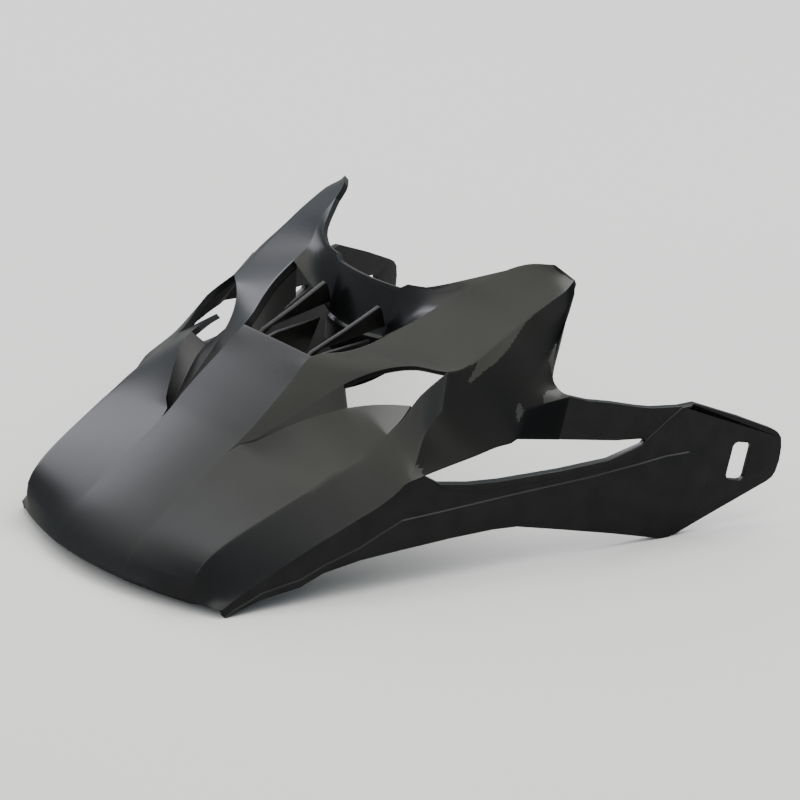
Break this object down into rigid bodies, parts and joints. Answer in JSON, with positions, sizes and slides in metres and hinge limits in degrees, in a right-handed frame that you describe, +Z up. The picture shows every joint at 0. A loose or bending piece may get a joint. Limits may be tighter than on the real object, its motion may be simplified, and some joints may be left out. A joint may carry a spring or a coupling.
{
  "type": "helmet peak",
  "caption": "Detachable moulded peak for a full-face off-road cycling helmet, with a ridged centre band, side vents, rear horns and splayed slotted side arms.",
  "frame": {"origin": "middle of the bounding box's underside, on the floor the peak rests on", "axes": "+X towards the wearer's left, -Y towards the front lip, +Z up"},
  "size_m": [0.26, 0.2608, 0.11],
  "materials": {
    "gloss_black": "gloss black moulded plastic",
    "satin_black": "satin black moulded plastic"
  },
  "bodies": {
    "root": {"centre_band": "gloss_black", "cheek_panel_left": "gloss_black", "cheek_panel_right": "gloss_black", "vent_gutter_left": "satin_black", "vent_gutter_right": "satin_black", "horn_left": "gloss_black", "horn_right": "gloss_black", "saddle_bridge": "gloss_black", "scoop_fin_left": "satin_black", "scoop_fin_right": "satin_black", "scoop_flange_left": "satin_black", "scoop_flange_right": "satin_black", "duct_wall_left": "satin_black", "duct_wall_right": "satin_black", "side_arm_left": "gloss_black", "side_arm_right": "gloss_black"}
  },
  "joints": []
}
